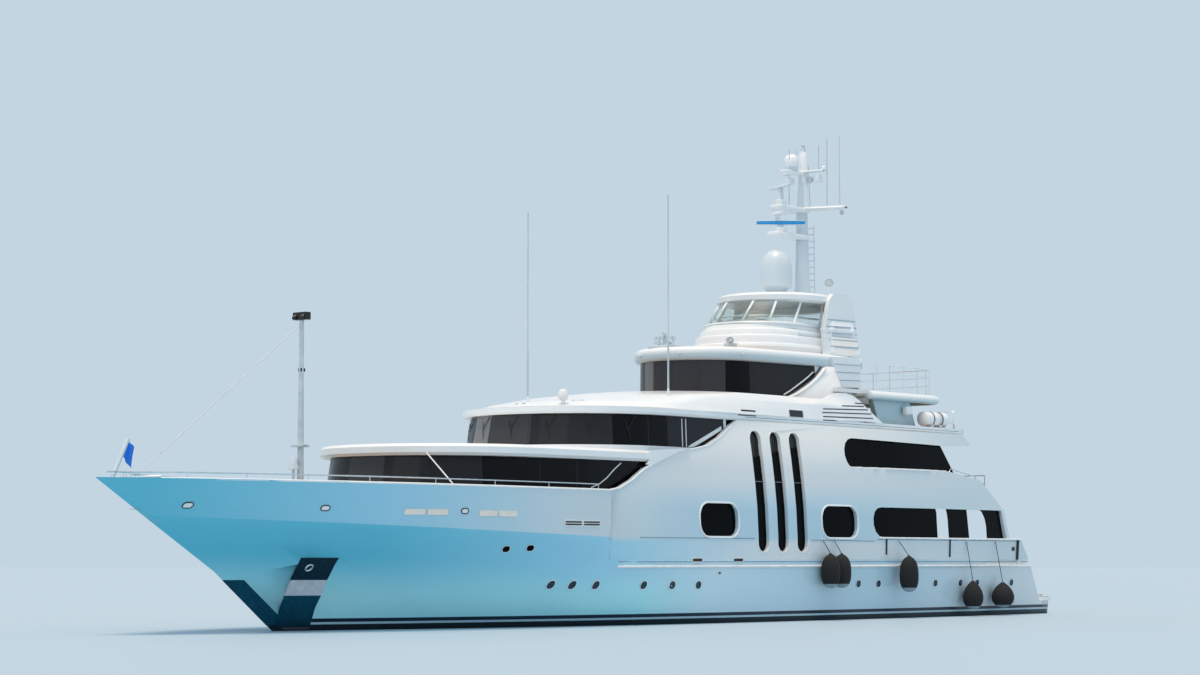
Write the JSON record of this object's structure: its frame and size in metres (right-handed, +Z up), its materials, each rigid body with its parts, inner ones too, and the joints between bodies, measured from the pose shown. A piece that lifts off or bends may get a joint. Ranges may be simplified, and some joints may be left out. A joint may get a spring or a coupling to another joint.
{
  "type": "motor yacht scale model at 1:2",
  "caption": "Displacement motor yacht with raked bow, full-beam decks, glazed deckhouses, sun deck with hardtop, radar mast, swim platform and tender garage; turning screws, rudders and doors.",
  "frame": {"origin": "on the centreline at half the overall length, at the waterline", "axes": "+X towards the bow, +Y to port, +Z up"},
  "size_m": [25.6, 5.1679, 11.25],
  "materials": {
    "hull_paint": "gloss",
    "white_paint": "gloss",
    "white_plastic": "satin",
    "dark_glass": "tinted, gloss",
    "teak": "scrubbed planks",
    "stainless": "polished",
    "bronze": "cast and ground",
    "fender_rubber": "matte",
    "flag_cloth": "woven"
  },
  "bodies": {
    "yacht": {"hull": "hull_paint", "stern": "hull_paint", "anchor_plate_port": "stainless", "anchor_plate_starboard": "stainless", "fore_bulwark": "hull_paint", "side_shell_port": "hull_paint", "side_shell_starboard": "hull_paint", "side_glazing_port": "dark_glass", "side_glazing_starboard": "dark_glass", "upper_deck": "teak", "fore_house_wall": "white_paint", "fore_house_glass": "dark_glass", "fore_house_roof": "white_paint", "upper_house_wall": "white_paint", "upper_house_glass": "dark_glass", "bridge_deck": "white_paint", "bridge_bulwark": "white_paint", "wheelhouse_wall": "white_paint", "wheelhouse_glass": "dark_glass", "wheelhouse_roof": "white_paint", "sundeck_coaming": "white_paint", "windshield": "dark_glass", "hardtop": "white_paint", "radar_arch": "white_paint", "sun_terrace": "white_paint", "terrace_rail": "stainless", "bow_rail": "stainless", "saloon_bulkhead": "white_paint", "upper_bulkhead": "white_paint", "swim_platform": "teak", "shaft_port": "stainless", "shaft_starboard": "stainless", "stabiliser_fin_port": "hull_paint", "stabiliser_fin_starboard": "hull_paint", "mast": "white_paint", "satellite_dome": "white_plastic", "foremast": "white_paint", "jackstaff": "stainless", "flag": "flag_cloth", "windlass": "stainless", "life_raft_port": "white_plastic", "life_raft_starboard": "white_plastic", "fender_pair": "fender_rubber", "fender_middle": "fender_rubber", "fender_aft": "fender_rubber", "fender_ball": "fender_rubber"},
    "propeller_port": {"propeller_port": "bronze"},
    "propeller_starboard": {"propeller_starboard": "bronze"},
    "rudder_port": {"rudder_port": "hull_paint"},
    "rudder_starboard": {"rudder_starboard": "hull_paint"},
    "radar_scanner_lower": {"radar_scanner_lower": "white_paint"},
    "radar_scanner_upper": {"radar_scanner_upper": "white_paint"},
    "saloon_door_port": {"saloon_door_port": "dark_glass"},
    "saloon_door_starboard": {"saloon_door_starboard": "dark_glass"},
    "upper_door_port": {"upper_door_port": "dark_glass"},
    "upper_door_starboard": {"upper_door_starboard": "dark_glass"},
    "bridge_door": {"bridge_door": "white_paint"},
    "transom_hatch": {"transom_hatch": "hull_paint"}
  },
  "joints": [
    {"name": "propeller_port_spin", "type": "hinge", "parent": "yacht", "child": "propeller_port", "pos_m": [-9.7, 0.95, -0.98], "axis": [1, 0, 0], "continuous": true},
    {"name": "propeller_starboard_spin", "type": "hinge", "parent": "yacht", "child": "propeller_starboard", "pos_m": [-9.7, -0.95, -0.98], "axis": [1, 0, 0], "continuous": true},
    {"name": "rudder_port_steer", "type": "hinge", "parent": "yacht", "child": "rudder_port", "pos_m": [-10.75, 0.95, -0.9], "axis": [0, 0, 1], "range_deg": [-35, 35]},
    {"name": "rudder_starboard_steer", "type": "hinge", "parent": "yacht", "child": "rudder_starboard", "pos_m": [-10.75, -0.95, -0.9], "axis": [0, 0, 1], "range_deg": [-35, 35]},
    {"name": "radar_scanner_lower_spin", "type": "hinge", "parent": "yacht", "child": "radar_scanner_lower", "pos_m": [-5.25, 0, 8.2], "axis": [0, 0, 1], "continuous": true},
    {"name": "radar_scanner_upper_spin", "type": "hinge", "parent": "yacht", "child": "radar_scanner_upper", "pos_m": [-5.25, 0, 8.98], "axis": [0, 0, 1], "continuous": true},
    {"name": "saloon_door_port_slide", "type": "slide", "parent": "yacht", "child": "saloon_door_port", "axis": [0, 1, 0], "range_m": [0, 0.5]},
    {"name": "saloon_door_starboard_slide", "type": "slide", "parent": "yacht", "child": "saloon_door_starboard", "axis": [0, -1, 0], "range_m": [0, 0.5]},
    {"name": "upper_door_port_slide", "type": "slide", "parent": "yacht", "child": "upper_door_port", "axis": [0, 1, 0], "range_m": [0, 0.5]},
    {"name": "upper_door_starboard_slide", "type": "slide", "parent": "yacht", "child": "upper_door_starboard", "axis": [0, -1, 0], "range_m": [0, 0.5]},
    {"name": "bridge_door_hinge", "type": "hinge", "parent": "yacht", "child": "bridge_door", "pos_m": [-5.65, 0.42, 4.5], "axis": [0, 0, -1], "range_deg": [0, 90]},
    {"name": "transom_hatch_hinge", "type": "hinge", "parent": "yacht", "child": "transom_hatch", "pos_m": [-11.57054, 0, 1.055], "axis": [0, 1, 0], "range_deg": [0, 75]}
  ],
  "couplings": [
    {"joint": "rudder_starboard_steer", "follows": "rudder_port_steer", "ratio": 1}
  ]
}
